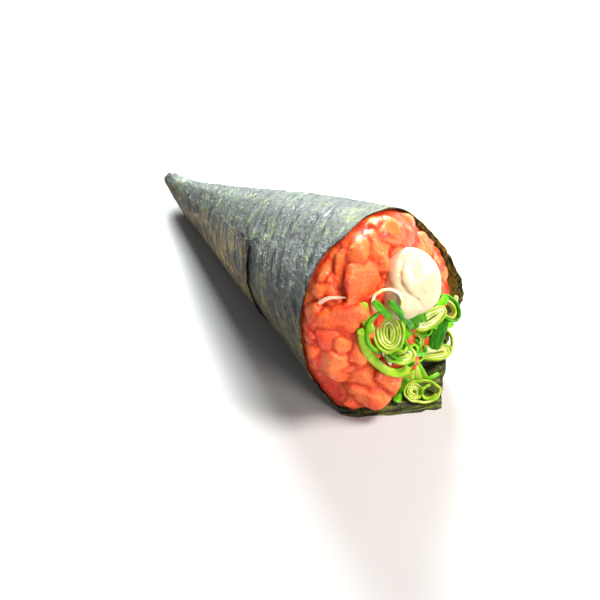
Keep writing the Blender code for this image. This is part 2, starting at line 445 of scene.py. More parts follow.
def sheet_relief(angle, slant):
    """Wrinkles along the fibres, which every layer shares."""
    wrinkle = 0.0
    for height, across, along in ((0.13, 5.0, 9.0), (0.11, 9.0, 15.0), (0.05, 16.0, 26.0)):
        wrinkle += height * noise.noise(fibre_place(angle, slant, across, along))
    broad = 0.14 * wave(2.2 * math.cos(angle), 2.2 * math.sin(angle), slant / (13.0 * MM))
    return (wrinkle + broad) * MM


def edge_lift(angle, slant):
    """The outer turn stands off a little along its two free edges, and crinkles at their corner."""
    side = (angle - FLAP_ANGLE) * math.sin(HALF_ANGLE) * slant
    end = max(0.0, flap_rim(angle) - slant)
    away = min(side, end)
    lift = 0.16 * MM * math.exp(-away / (2.2 * MM))
    near_corner = math.exp(-((side / (7.0 * MM)) ** 2 + ((FLAP_REACH - slant) / (8.0 * MM)) ** 2))
    crinkle = wave(slant / (2.4 * MM), side / (1.7 * MM), 2.0)
    return lift + near_corner * (0.25 + 0.75 * crinkle) * MM


def sheet_point(angle, slant):
    turn = turn_of(angle)
    past_flap = smooth_step((slant - flap_rim(angle - math.tau) - 2.0 * MM) / (8.0 * MM))
    relaxed = past_flap * smooth_step((turn - 1.0) / 0.15)
    depth = 0.5 * SHEET_THICKNESS + LAYER_PITCH * (turn - relaxed)
    floor = 0.5 * SHEET_THICKNESS + LAYER_PITCH * max(0.0, math.floor(turn) - relaxed)
    depth -= sheet_relief(angle, slant)
    if turn < 0.9:
        depth -= edge_lift(angle, slant)
    loose = smooth_step((slant - 0.93 * MOUTH_SLANT) / (0.12 * MOUTH_SLANT)) * tornness(angle)
    depth -= 0.7 * MM * loose * wave(angle * 4.0, slant / (5.0 * MM), 0.5)
    return wrap_point(angle, slant, depth, floor)


def sheet_angles():
    angles = []
    angle = FLAP_ANGLE
    last = FLAP_ANGLE + TURN_COUNT * math.tau
    while angle < last:
        angles.append(angle)
        shows = angle < FLAP_ANGLE + 1.05 * math.tau
        angle += OUTER_STEP if shows or angle > last - math.radians(4.0) else INNER_STEP
    return angles + [last]


def nori_material():
    material, tree, shader = new_material("nori")
    fibres = attribute(tree, "fibres", "Vector")
    thin = attribute(tree, "thin")
    fine = noise_of(fibres, 0.52, detail=5.0, roughness=0.7, distortion=1.2)
    folds = noise_of(fibres, 0.19, roughness=0.6, distortion=1.2)
    broad = noise_of(place(tree), 110.0, detail=4.0, roughness=0.6)
    grit = noise_of(place(tree), 1700.0, detail=2.0)
    holes = noise_of(stretched(fibres, (0.5, 0.5, 0.3), (3.0, 1.0, 7.0)), 1.0, roughness=0.7)
    gaps = between(holes, 0.55, 0.63)
    patch = noise_of(stretched(place(tree), (1.0, 1.6, 1.6)), 250.0, detail=5.0, roughness=0.72)
    lit = fine
    for part, strength in ((broad, 0.07), (folds, 0.06), (patch, 0.12)):
        lit = plus(lit, between(part, 0.3, 0.7, -strength, strength))
    dark = ramp(lit, (
        (0.34, (0.001, 0.004, 0.003)),
        (0.46, (0.004, 0.016, 0.012)),
        (0.54, (0.014, 0.042, 0.028)),
        (0.62, (0.06, 0.105, 0.034)),
        (0.7, (0.3, 0.33, 0.07)),
    ))
    olive = ramp(lit, (
        (0.38, (0.002, 0.004, 0.001)),
        (0.46, (0.018, 0.016, 0.003)),
        (0.53, (0.19, 0.1, 0.006)),
        (0.64, (0.56, 0.34, 0.045)),
    ))
    # painted backlight: the paler olive green of the sheet where light is shown shining through it, mixed in
    # by the backlit mark
    leaf = ramp(lit, (
        (0.38, (0.02, 0.045, 0.002)),
        (0.5, (0.19, 0.22, 0.006)),
        (0.62, (0.46, 0.42, 0.05)),
    ))
    color = mixed(thin, dark, olive)
    color = mixed(attribute(tree, "backlit"), color, leaf)
    color = mixed(times(gaps, 0.85), color, (0.003, 0.009, 0.004))
    rough = between(patch, 0.38, 0.62, 0.52, 0.2)
    rough = math_of(rough, "SUBTRACT", times(thin, 0.1))
    rough = math_of(rough, "MAXIMUM", times(gaps, 0.8))
    relief = math_of(folds, "SUBTRACT", times(gaps, 0.35))
    relief = plus(relief, times(patch, 0.6))
    relief = times(relief, between(thin, 0.0, 1.0, 1.0, 0.3))
    height = plus(fine, times(grit, 0.22))
    height = times(height, between(thin, 0.0, 1.0, 1.0, 0.5))
    connect(shader, {
        "Base Color": color,
        "Roughness": rough,
        "Normal": bump(height, 1.0 * MM, 1.0, bump(relief, 9.0 * MM)),
        "Specular IOR Level": 0.65,
        "Sheen Weight": 0.02,
        "Sheen Roughness": 0.4,
        "Sheen Tint": (0.86, 0.93, 0.95, 1.0),
    })
    return material


def thinness(angle, slant):
    """Where the sheet is thin or damp and turns olive: its flap's lower half and its near side towards the
    mouth.
    """
    flap = swell(angle, 78.0, 34.0) if turn_of(angle) < 0.5 else 0.0
    below = 0.45 * swell(angle, 95.0, 30.0) * smooth_step((slant - 60.0 * MM) / (15.0 * MM))
    return min(1.0, max(flap, below))


def backlight(angle, slant):
    """Where light shining through the sheet is painted in as a paler olive green: its torn leaf, its tongue
    and its rim on the far side.
    """
    leaf = swell(angle, 243.0, 34.0) * smooth_step((slant - 95.0 * MM) / (9.0 * MM))
    far_rim = swell(angle, 285.0, 60.0) * smooth_step((slant - 92.0 * MM) / (5.0 * MM))
    tongue = 0.4 * swell(angle, 180.0, 60.0) * smooth_step((slant - 102.0 * MM) / (6.0 * MM))
    return min(1.0, max(leaf, far_rim, tongue))


def make_nori():
    vertices, fibres, thin, backlit = [], [], [], []
    angles = sheet_angles()
    for angle in angles:
        turn = turn_of(angle)
        start = TIP_SLANT + TIP_STAGGER * max(0.0, turn - 1.0)
        rim = sheet_rim(angle)
        for row in range(SHEET_ROWS + 1):
            slant = start + (rim - start) * row / SHEET_ROWS
            vertices.append(sheet_point(angle, slant))
            fibres.append(fibre_place(angle, slant, 13.0, 34.0) + Vector((0.0, 0.0, 6.0 * turn)))
            thin.append(thinness(angle, slant))
            backlit.append(backlight(angle, slant))
    beside = SHEET_ROWS + 1
    starts = [column * beside + row for column in range(len(angles) - 1) for row in range(SHEET_ROWS)]
    faces = [(i, i + 1, i + beside + 1, i + beside) for i in starts]
    mesh = new_mesh("nori_sheet", vertices, faces)
    set_values(mesh, fibres=fibres, thin=thin, backlit=backlit)
    sheet = linked("nori_open", mesh)
    solidify = sheet.modifiers.new("Solidify", "SOLIDIFY")
    solidify.thickness = SHEET_THICKNESS
    solidify.offset = 0.0
    add_mesh("nori_sheet", evaluated(sheet), nori_material(), "nori_wrap")


# ---- the form of the filling, and places on its face ----
def filling_wall(angle, slant):
    return wrap_point(angle, slant, FILLING_DEPTH, FILLING_DEPTH)


def face_slant(angle):
    inset = sum(depth * swell(angle, centre, width) for depth, centre, width in FACE_INSETS)
    return mouth_slant(angle) - RIM_CLEARANCE - inset


FACE_ANGLES = [i * math.tau / COLUMNS for i in range(COLUMNS)]
FACE_RIM = [filling_wall(angle, face_slant(angle)) for angle in FACE_ANGLES]
HUB = sum(FACE_RIM, Vector()) / COLUMNS  # the middle of the mouth, inside the filling


def on_face(far, up, out, lift=0.0):
    """A point of the mouth, in millimetres: far, up, out along the axis, and lifted along the lean."""
    return HUB + (FAR * far + TOP * up + AXIS * out + LEAN * lift) * MM


def aimed(far, up, out):
    """A direction of the mouth, in the first three senses."""
    return (FAR * far + TOP * up + AXIS * out).normalized()


def core_mesh(start, bulge, rows=4):
    """A closed solid from a slant of the cone to its domed face."""
    bm = bmesh.new()
    rings = []
    for row in range(rows + 1):
        slants = [start + (face_slant(a) - start) * row / rows for a in FACE_ANGLES]
        rings.append([bm.verts.new(filling_wall(a, s)) for a, s in zip(FACE_ANGLES, slants)])
    for row in range(1, DOME_ROWS):
        rise = 0.5 * math.pi * row / DOME_ROWS
        inward = math.cos(rise) ** FACE_FULLNESS
        outward = AXIS * (bulge * math.sin(rise))
        rings.append([bm.verts.new(HUB + (wall - HUB) * inward + outward) for wall in FACE_RIM])
    inner = bm.verts.new(sum((v.co for v in rings[0]), Vector()) / COLUMNS)
    crown = bm.verts.new(HUB + AXIS * bulge)
    for i in range(COLUMNS):
        j = (i + 1) % COLUMNS
        for lower, upper in zip(rings, rings[1:]):
            bm.faces.new((lower[i], lower[j], upper[j], upper[i]))
        bm.faces.new((rings[0][j], rings[0][i], inner))
        bm.faces.new((rings[-1][i], rings[-1][j], crown))
    bmesh.ops.recalc_face_normals(bm, faces=bm.faces)
    return bm


smooth_filling = core_mesh(CORE_START, FACE_BULGE)
DOME = BVHTree.FromBMesh(smooth_filling)
smooth_filling.free()


def cast(far, up):
    """The smooth face over a place of the mouth, and its normal."""
    hit, normal, _, _ = DOME.ray_cast(on_face(far, up, 40.0), -AXIS)
    return hit, normal


def on_dome(far, up, lift):
    """A point of the smooth face, lifted the way the toppings are piled."""
    hit, _ = cast(far, up)
    return (hit or on_face(far, up, 0.0)) + LEAN * (lift * MM)


# ---- strips of leaf ----
def strip_profile(sides=10):
    """The flat oval outline of a strip, in shares of its half width and half thickness."""
    profile = []
    for side in range(sides):
        turn = math.tau * side / sides
        wide = math.copysign(abs(math.cos(turn)) ** 0.35, math.cos(turn))
        thick = math.copysign(abs(math.sin(turn)) ** 0.75, math.sin(turn))
        profile.append((wide, thick))
    return profile


def spline(knots, steps=7):
    """A smooth curve through the knots."""
    line = []
    for index in range(len(knots) - 1):
        b, c = knots[index:index + 2]
        a = knots[index - 1] if index > 0 else b * 2.0 - c
        d = knots[index + 2] if index < len(knots) - 2 else c * 2.0 - b
        for step in range(steps):
            t = step / steps
            line.append(0.5 * ((2.0 * b) + (c - a) * t + (2.0 * a - 5.0 * b + 4.0 * c - d) * t * t
                               + (3.0 * b - a - 3.0 * c + d) * t ** 3))
    return line + [knots[-1]]


class Strips:
    """Gathers slices and strips into one mesh; their sizes are in millimetres."""

    profile = strip_profile()

    def __init__(self):
        self.vertices, self.faces, self.green, self.veins = [], [], [], []
        self.count = 0

    def strip(self, line, across, width, thickness, green, closed=False, inner=None, taper=1.0):
        """Sweeps a leaf's wall along a line; across is the way its width runs at each point."""
        self.count += 1
        base = len(self.vertices)
        inner = green if inner is None else inner
        count = len(line)
        run = 0.0
        for index, point in enumerate(line):
            before = line[index - 1] if closed or index > 0 else point
            after = line[(index + 1) % count] if closed or index < count - 1 else point
            tangent = (after - before).normalized()
            wide_way = (across[index] - tangent * across[index].dot(tangent)).normalized()
            out_way = tangent.cross(wide_way)
            share = index / max(1, count - 1)
            ends = 1.0 if closed else min(1.0, 0.55 + 6.0 * min(share, 1.0 - share))
            half = 0.5 * width * MM * ends * (1.0 - (1.0 - taper) * share)
            run += (point - before).length
            ripple = 1.0 + 0.1 * noise.noise(point * 260.0 + Vector((self.count, 0.0, 0.0)))
            for wide, thick in self.profile:
                offset = wide_way * (wide * half * ripple) + out_way * (thick * 0.5 * thickness * MM)
                self.vertices.append(point + offset)
                self.green.append(green if thick >= 0.0 else inner)
                self.veins.append((run / MM, wide * half / MM, self.count * 3.7))
        sides = len(self.profile)
        for index in range(count if closed else count - 1):
            ring = base + index * sides
            following = base + ((index + 1) % count) * sides
            for side in range(sides):
                beside = (side + 1) % sides
                self.faces.append((ring + side, ring + beside, following + beside, following + side))
        if not closed:
            self.faces.append(tuple(base + side for side in reversed(range(sides))))
            self.faces.append(tuple(base + (count - 1) * sides + side for side in range(sides)))

    def ring(self, middle, facing, radii, width, thickness, green, inner=None, span=360.0, start=0.0,
             spin=0.0, wobble=0.06):
        """A hoop, or an arc of one, round an axis that faces the given way."""
        facing = facing.normalized()
        side = spun(UP.cross(facing).normalized(), math.radians(spin), facing)
        upward = facing.cross(side)
        closed = span >= 360.0
        count = max(10, int(span / 9.0))
        line, across = [], []
        for index in range(count):
            turn = math.radians(start + span * index / (count if closed else count - 1))
            cosine = math.cos(turn)
            sine = math.sin(turn)
            shake = 1.0 + wobble * wave(2.0 * cosine, 2.0 * sine, self.count * 5.1)
            offset = (side * (radii[0] * cosine) + upward * (radii[1] * sine)) * (shake * MM)
            sway = 0.35 * wave(cosine, sine, self.count * 3.3) * MM
            line.append(middle + offset + facing * sway)
            across.append(facing + offset.normalized() * 0.25)
        self.strip(line, across, width, thickness, green, closed, inner)

    def slice(self, middle, facing, radii, width, greens, spin=0.0, wall=0.85):
        """A cut through the stem: nested hoops that touch, palest inside."""
        for index, green in enumerate(greens):
            reach = [max(0.35, radius - index * 0.94 * wall) for radius in radii]
            sunk = middle - facing.normalized() * (0.1 * index * MM)
            self.ring(sunk, facing, reach, width * (1.0 - 0.06 * index), wall, green,
                      inner=max(0.0, green - 0.12), spin=spin, wobble=0.07)

    def ribbon(self, knots, width, thickness, green, face=LEAN, inner=None, taper=1.0):
        """A strip through knots; face is the way its flat side looks."""
        line = spline(knots)
        ends = [line[0]] + line + [line[-1]]
        across = [(after - before).cross(face) for before, after in zip(ends, ends[2:])]
        self.strip(line, across, width, thickness, green, False, inner, taper)


# ---- salmon ----
class Chunk:
    """A cut piece of fish: a rounded polytope, longest along its own X and thinnest along its Z."""

    def __init__(self, draw, centre, normal, roll, size, tone):
        self.centre = np.array(centre)
        self.tone = tone
        side = spun((FAR - normal * FAR.dot(normal)).normalized(), roll, normal)
        self.axes = np.array((side, normal.cross(side), normal))
        self.size = size
        sides, reach = [], []
        for axis in range(3):
            for sign in (-1.0, 1.0):
                direction = scatter(draw, 0.2)
                direction[axis] += sign
                sides.append(direction.normalized())
                reach.append(size[axis] * draw.uniform(0.85, 1.12))
        for _ in range(5):
            direction = scatter(draw, 1.0).normalized()
            sides.append(direction)
            reach.append(Vector([d * s for d, s in zip(direction, size)]).length * draw.uniform(0.8, 1.05))
        self.sides = np.array(sides) @ self.axes
        self.reach = np.array(reach)

    def gauge(self, offsets):
        """Below 1 inside the chunk, 1 on its surface."""
        parts = np.maximum(offsets @ self.sides.T, 0.0) / self.reach
        return (parts ** CHUNK_SHARPNESS).sum(1) ** (1.0 / CHUNK_SHARPNESS)

    def points(self, directions):
        surface = directions / self.gauge(directions)[:, None]
        local = surface @ self.axes.T
        bend = 0.16 * (local[:, 0] ** 2) / self.size[0]
        own = Vector((self.tone * 90.0, self.size[0] * 5000.0, 0.0))
        lumps = [noise.noise(Vector(v) / (4.2 * MM) + own) for v in surface]
        grown = 1.0 + 0.26 * np.array(lumps)
        return self.centre + surface * grown[:, None] - np.outer(bend, self.axes[2])


KEY_CHUNKS = (
    # far, up, half length, half width, half thickness, roll in degrees from the far side upwards,
    # tone, lift: the pieces of the face that stand out
    (6.2, 20.3, 6.6, 4.2, 3.0, -35, 0.8, 0.3),
    (-0.7, 21.0, 4.4, 3.0, 2.6, 15, 0.85, 0.5),
    (9.4, 16.0, 7.2, 4.8, 3.2, -40, 0.85, 0.2),
    (15.0, 14.0, 5.0, 3.8, 2.8, -60, 0.9, 0.2),
    (-6.6, 20.6, 4.4, 2.4, 2.4, 48, 1.0, 1.5),
    (-10.8, 18.8, 5.0, 2.7, 2.4, 50, 0.75, 0.6),
    (-14.6, 15.6, 4.8, 2.6, 2.4, 40, 0.65, 0.5),
    (-11.4, 15.4, 3.4, 2.4, 2.2, 0, 0.95, 1.1),
    (-16.4, 14.4, 4.6, 2.4, 2.4, -32, 0.95, 1.6),
    (-7.8, 13.4, 7.0, 5.8, 3.2, 70, 0.5, 0.2),
    (-17.4, 7.4, 5.8, 5.6, 3.4, -28, 0.6, 0.9),
    (-20.0, 10.0, 3.2, 2.6, 2.2, 20, 0.95, 1.2),
    (19.0, 1.5, 4.4, 3.2, 2.6, 75, 1.0, 0.2),
    (18.4, 8.0, 4.6, 3.2, 2.6, -62, 0.95, 0.3),
    (17.0, -2.6, 3.6, 2.8, 2.4, 75, 0.8, -0.2),
    (-19.0, -5.6, 6.2, 5.0, 3.4, -60, 0.8, 1.1),
    (-13.2, -10.0, 6.2, 5.2, 3.6, -30, 0.85, 1.2),
    (-12.8, -17.0, 7.0, 4.2, 3.0, -30, 0.7, 0.9),
    (-7.2, -13.6, 6.2, 4.8, 3.2, 60, 0.7, 0.9),
    (-3.6, -9.6, 5.0, 4.0, 2.8, 20, 0.55, 0.2),
    (3.0, -12.0, 4.8, 3.8, 2.8, 0, 0.6, 0.0),
    (-17.8, 0.6, 3.6, 2.6, 2.4, 0, 0.8, 0.8),
    (-14.2, -2.0, 3.2, 2.4, 2.4, 70, 0.95, 1.0),
    (-10.4, -3.6, 4.6, 3.4, 2.6, 10, 0.45, 0.4),
    (-20.4, 3.6, 3.6, 2.4, 2.2, 80, 0.35, 0.2),
    (-16.0, -19.0, 3.6, 2.6, 2.2, -50, 0.05, -0.6),
    (12.0, -5.0, 5.4, 4.4, 3.0, 30, 0.6, -0.2),
    (4.0, 3.0, 6.6, 5.6, 3.0, 0, 0.5, -0.8),
)
LOOSE_CHUNKS = 70
LOOSE_SPACING = 2.7 * MM
SHREDS = 30  # small torn bits that fill the gaps between the chunks


def far_low(hit):
    """The far lower part of the face, where cut onion lies in place of fish."""
    offset = hit - HUB
    return offset.dot(FAR) > 13.0 * MM and offset.dot(TOP) < -3.0 * MM


def random_chunk(draw, low, high, depth, lean_spread, tone):
    """A chunk of a half length in a range, at a random place of the dome, sunk by a range of depths."""
    radius = DOME_RADIUS * math.sqrt(draw.random())
    spin = draw.uniform(0.0, math.tau)
    hit, normal = cast(radius * math.cos(spin), radius * math.sin(spin))
    length = draw.uniform(low, high)
    width = length * draw.uniform(0.5, 0.85)
    thick = length * draw.uniform(0.42, 0.62)
    sunk = draw.uniform(*depth)
    roll = draw.uniform(0.0, math.tau)
    shake = scatter(draw, lean_spread)
    if hit is None or far_low(hit):
        return None
    lean = (normal + AXIS * 0.5 + shake).normalized()
    middle = hit - normal * ((0.8 * thick + sunk) * MM)
    return Chunk(draw, middle, lean, roll, (length * MM, width * MM, thick * MM), tone)


def lay_chunks():
    draw = random.Random(7)
    chunks = []
    for far, up, length, width, thick, roll, tone, lift in KEY_CHUNKS:
        hit, normal = cast(far, up)
        lean = (normal + AXIS * 0.35 + scatter(draw, 0.1)).normalized()
        size = (length * MM, width * MM, thick * MM)
        middle = hit - normal * ((0.85 * thick - lift) * MM)
        chunks.append(Chunk(draw, middle, lean, math.radians(roll), size, tone))
    while len(chunks) < len(KEY_CHUNKS) + LOOSE_CHUNKS:
        tone = min(1.0, max(0.0, draw.gauss(0.62, 0.25)))
        chunk = random_chunk(draw, 3.2, 6.6, (-0.3, 1.8), 0.3, tone)
        if chunk and all(np.linalg.norm(c.centre - chunk.centre) > LOOSE_SPACING for c in chunks):
            chunks.append(chunk)
    while len(chunks) < len(KEY_CHUNKS) + LOOSE_CHUNKS + SHREDS:
        chunk = random_chunk(draw, 1.1, 2.2, (0.0, 1.8), 0.6, draw.uniform(0.3, 1.0))
        if chunk:
            chunks.append(chunk)
    return chunks


def press_in(points, margin=0.7 * MM):
    """Presses points softly inside the nori."""
    for index, value in enumerate(points):
        point = Vector(value)
        along = (point - APEX).dot(AXIS)
        hub = APEX + AXIS * along
        spoke = point - hub
        angle = math.atan2(spoke.dot(NEAR), spoke.dot(TOP))
        room = (filling_wall(angle, along / math.cos(HALF_ANGLE)) - hub).length
        excess = spoke.length - (room - margin)
        if excess > 0.0:
            kept = room - margin + margin * (1.0 - math.exp(-excess / margin))
            points[index] = hub + spoke * (kept / spoke.length)


def sphere_directions(subdivisions):
    bm = bmesh.new()
    bmesh.ops.create_icosphere(bm, subdivisions=subdivisions, radius=1.0)
    directions = np.array([tuple(v.co) for v in bm.verts])
    faces = [tuple(v.index for v in f.verts) for f in bm.faces]
    bm.free()
    return directions, faces


def salmon_material():
    material, tree, shader = new_material("salmon")
    flesh = attribute(tree, "flesh", "Vector")
    warped = noise_of(flesh, 1.3, distortion=0.6)
    mottle = noise_of(place(tree), 420.0, detail=4.0, roughness=0.6)
    bands = node(tree, "ShaderNodeTexWave", {
        "Vector": flesh, "Scale": 0.42, "Distortion": 5.0, "Detail": 2.0, "Detail Scale": 0.8,
    }, wave_type="BANDS", bands_direction="X").outputs["Fac"]
    grain = noise_of(stretched(flesh, (1.0, 6.0, 6.0)), 1.2, detail=4.0)
    specks = noise_of(place(tree), 1300.0, detail=2.0, roughness=0.6)
    pale = times(between(bands, 0.7, 1.0, 0.0, 0.35), between(warped, 0.42, 0.66))
    tone = between(attribute(tree, "tone"), 0.0, 1.0)
    base = mixed(tone, (0.94, 0.08, 0.018), (1.0, 0.165, 0.027))
    for share, color in (
        (between(mottle, 0.35, 0.75, 0.0, 0.4), (0.97, 0.125, 0.03)),
        (pale, (0.97, 0.35, 0.15)),
        # painted highlight: a paler orange along the edges where a chunk's cut faces meet
        (times(attribute(tree, "ridge"), 0.45), (0.99, 0.29, 0.08)),
        # painted shade: a deep red in the seams between chunks and in the gaps down to the core
        (times(attribute(tree, "crease"), 0.85), (0.62, 0.016, 0.004)),
        (attribute(tree, "fat"), (0.97, 0.76, 0.55)),
    ):
        base = mixed(share, base, color)
    relief = plus(plus(grain, times(mottle, 0.8)), times(specks, 0.3))
    connect(shader, {
        "Base Color": base,
        "Roughness": between(grain, 0.3, 0.7, 0.36, 0.14),
        "Normal": bump(relief, 0.36 * MM, 0.8),
        "Subsurface Weight": 0.2,
        "Subsurface Radius": (1.0, 0.3, 0.14),
        "Subsurface Scale": 1.5 * MM,
        "Specular IOR Level": 0.3,
        "Coat Weight": 0.24,
        "Coat Roughness": 0.07,
    })
    return material


def make_salmon(material):
    chunks = lay_chunks()
    bm = core_mesh(CORE_START, CORE_BULGE)
    points = [tuple(v.co) for v in bm.verts]
    faces = [tuple(v.index for v in f.verts) for f in bm.faces]
    bm.free()
    fine_sphere = sphere_directions(5)
    coarse_sphere = sphere_directions(3)
    for chunk in chunks:
        directions, sphere_faces = coarse_sphere if chunk.size[0] < SMALL_CHUNK else fine_sphere
        faces.extend(tuple(i + len(points) for i in face) for face in sphere_faces)
        points.extend(chunk.points(directions))
    points = np.array(points)
    press_in(points)
    lump = linked("salmon_lump", new_mesh("salmon_pieces", points, faces))
    remesh = lump.modifiers.new("Remesh", "REMESH")
    remesh.mode = "VOXEL"
    remesh.voxel_size = VOXEL
    smooth = lump.modifiers.new("Smooth", "SMOOTH")
    smooth.factor = 0.5
    smooth.iterations = 2
    mesh = evaluated(lump)
    colour_chunks(mesh, chunks)
    roughen(mesh)
    add_mesh("salmon_pieces", mesh, material, "salmon_filling")


def colour_chunks(mesh, chunks):
    """Gives each point its chunk's tone and grain, marks the edges of each chunk for a painted highlight,
    and marks the seams between chunks and the bare core in the gaps for painted shade.
    """
    points = vectors_of(mesh, "co")
    count = len(points)
    best = np.full(count, 9.0)
    second = np.full(count, 9.0)
    tone = np.full(count, 0.15)
    ridge = np.zeros(count)
    flesh = points / (2.0 * MM)
    for number, chunk in enumerate(chunks):
        offsets = points - chunk.centre
        close = np.flatnonzero((offsets ** 2).sum(1) < (1.8 * max(chunk.size)) ** 2)
        near = offsets[close]
        value = chunk.gauge(near)
        wins = value < best[close]
        held = close[wins]
        loses = close[~wins]
        second[loses] = np.minimum(second[loses], value[~wins])
        second[held] = best[held]
        best[held] = value[wins]
        tone[held] = chunk.tone
        parts = np.maximum(near[wins] @ chunk.sides.T, 0.0) / chunk.reach
        top_two = np.sort(parts, axis=1)[:, -2:]
        # painted highlight along the edges where two cut faces of the chunk meet
        ridge[held] = np.clip(1.0 - (top_two[:, 1] - top_two[:, 0]) / 0.16, 0.0, 1.0)
        flesh[held] = near[wins] @ chunk.axes.T / FLESH_GRAIN + number * 7.3
    # painted shade: the seams between chunks, and the bare core in the gaps between them
    crease = np.clip(1.0 - (second - best) / 0.3, 0.0, 1.0)
    crease = np.maximum(crease, np.clip((best - 1.02) / 0.25, 0.0, 1.0))
    set_values(mesh, tone=tone, crease=crease, ridge=ridge * (1.0 - crease), flesh=flesh)


def roughen(mesh):
    """Small torn relief over the whole face, in and out along the surface's own normals."""
    points = vectors_of(mesh, "co")
    relief = []
    for value in points:
        point = Vector(value)
        torn = 0.22 * noise.noise(point / (2.3 * MM)) + 0.15 * noise.noise(point / (1.1 * MM))
        relief.append(torn + 0.08 * noise.noise(point / (0.6 * MM)))
    move_points(mesh, points + vectors_of(mesh, "normal") * (np.array(relief) * MM)[:, None])


def make_fat_seam(material):
    """The strip of white fat along the edge of one piece near the rim."""
    seam = Strips()
    spots = ((-18.8, 12.0, 1.2), (-16.8, 13.0, 1.7), (-14.6, 12.7, 1.9), (-12.6, 12.0, 1.4))
    seam.ribbon([on_dome(*spot) for spot in spots], 1.2, 0.5, 0.0, taper=0.3)
    piece = add_piece("fat_seam", seam.vertices, seam.faces, material, "salmon_filling")
    points = vectors_of(piece.data, "co")
    set_values(piece.data, fat=np.full(len(points), 0.7), flesh=points / FLESH_GRAIN)


def make_core(material):
    """The rest of the filling, down the cone behind the pieces."""
    bm = core_mesh(FILLING_START, CORE_BULGE - 3.0 * MM, rows=12)
    mesh = bpy.data.meshes.new("salmon_core")
    bm.to_mesh(mesh)
    bm.free()
    points = vectors_of(mesh, "co")
    even = np.ones(len(points))
    # the core down the cone gets an even share of painted shade and no painted highlight
    set_values(mesh, tone=even * 0.3, crease=even * 0.4, ridge=even * 0.0, flesh=points / FLESH_GRAIN)
    move_points(mesh, points - np.array(AXIS) * (1.2 * MM))
    add_mesh("salmon_core", mesh, material, "salmon_filling")


# ---- cream cheese ----
CREAM_SIZE = (7.3, 8.4, 6.4)  # half sizes in millimetres: across, up and towards its crown
LOBE_MIDDLE = (-4.4, -3.6, 0.4)
LOBE_SIZE = (4.4, 5.0, 4.6)
FACETS = (  # way that it faces, and distance from the middle
    (Vector((0.22, 0.32, 0.92)), 5.5),
    (Vector((0.34, -0.42, 0.84)), 5.6),
)
CREASE_KNOTS = ((-1.2, 5.2), (-2.8, 2.6), (-3.2, 0.0), (-2.2, -2.6), (-0.4, -5.0), (0.4, -7.0))


def cream_frame():
    """X across the dollop, Y up it and Z out of its crown."""
    across = spun(UP.cross(LEAN).normalized(), math.radians(17.0), LEAN)
    upward = LEAN.cross(across).normalized()
    axes = Matrix((across, upward, LEAN)).transposed().to_4x4()
    return Matrix.Translation(on_dome(6.0, 6.9, 3.2)) @ axes


def ellipsoid_reach(direction, middle, size):
    """How far a ray from the origin runs to the far side of an ellipsoid, or 0 if it misses."""
    scaled = Vector([d / s for d, s in zip(direction, size)])
    offset = Vector([m / s for m, s in zip(middle, size)])
    ahead = scaled.dot(offset)
    inside = ahead ** 2 - scaled.length_squared * (offset.length_squared - 1.0)
    return max(0.0, (ahead + math.sqrt(inside)) / scaled.length_squared) if inside > 0.0 else 0.0


def stroke(x, y, start, end, width):
    """1 along a line from start to end, falling off across it and past its ends."""
    run = Vector(end) - Vector(start)
    reach = Vector((x, y)) - Vector(start)
    share = min(1.0, max(0.0, reach.dot(run) / run.length_squared))
    away = (reach - run * share).length
    return math.exp(-(away / width) ** 2)


def cream_height(x, y):
    """The fold round the near side of the crown, in millimetres outwards."""
    height = 0.3 * stroke(x, y, (-4.6, 3.4), (-4.6, -1.6), 1.0)
    for start, end in zip(CREASE_KNOTS, CREASE_KNOTS[1:]):
        height -= 0.26 * stroke(x, y, start, end, 0.6)
    return height


def cream_material():
    material, tree, shader = new_material("cream_cheese")
    cloud = noise_of(place(tree), 170.0)
    grain = noise_of(place(tree), 1400.0)
    base = mixed(between(cloud, 0.3, 0.7), (0.6, 0.475, 0.28), (0.66, 0.545, 0.365))
    connect(shader, {
        # painted shade: a deeper yellow in the groove of the fold
        "Base Color": mixed(attribute(tree, "hollow"), base, (0.66, 0.46, 0.22)),
        "Roughness": between(cloud, 0.3, 0.7, 0.34, 0.5),
        "Normal": bump(plus(times(grain, 0.15), cloud), 0.2 * MM, 0.5),
        "Subsurface Weight": 0.3,
        "Subsurface Radius": (1.0, 0.75, 0.45),
        "Subsurface Scale": 2.0 * MM,
        "Coat Weight": 0.12,
        "Coat Roughness": 0.3,
    })
    return material


def make_cream():
    directions, faces = sphere_directions(7)
    seat = cream_frame()
    points, hollow = [], []
    for value in directions:
        direction = Vector(value)
        body = ellipsoid_reach(direction, (0.0, 0.0, 0.0), CREAM_SIZE)
        reach = smooth_max(body, ellipsoid_reach(direction, LOBE_MIDDLE, LOBE_SIZE), 2.4)
        for way, distance in FACETS:
            toward = direction.dot(way)
            if toward > 0.3:
                reach = -smooth_max(-reach, -distance / toward, 0.9)
        reach += 0.25 * noise.noise(direction * 1.7) + 0.06 * noise.noise(direction * 5.0)
        local = direction * reach
        height = cream_height(local.x, local.y) * smooth_step((direction.z - 0.05) / 0.5)
        points.append(seat @ ((local + direction * height) * MM))
        # painted shade where the fold dips inwards
        hollow.append(min(1.0, max(0.0, -0.55 * height)))
    piece = add_piece("cream_dollop", points, faces, cream_material(), "cream_cheese")
    set_values(piece.data, hollow=hollow)


# ---- spring onion ----
HEAP_LIFT = 1.1  # how many millimetres the cut onion sits over the smooth face


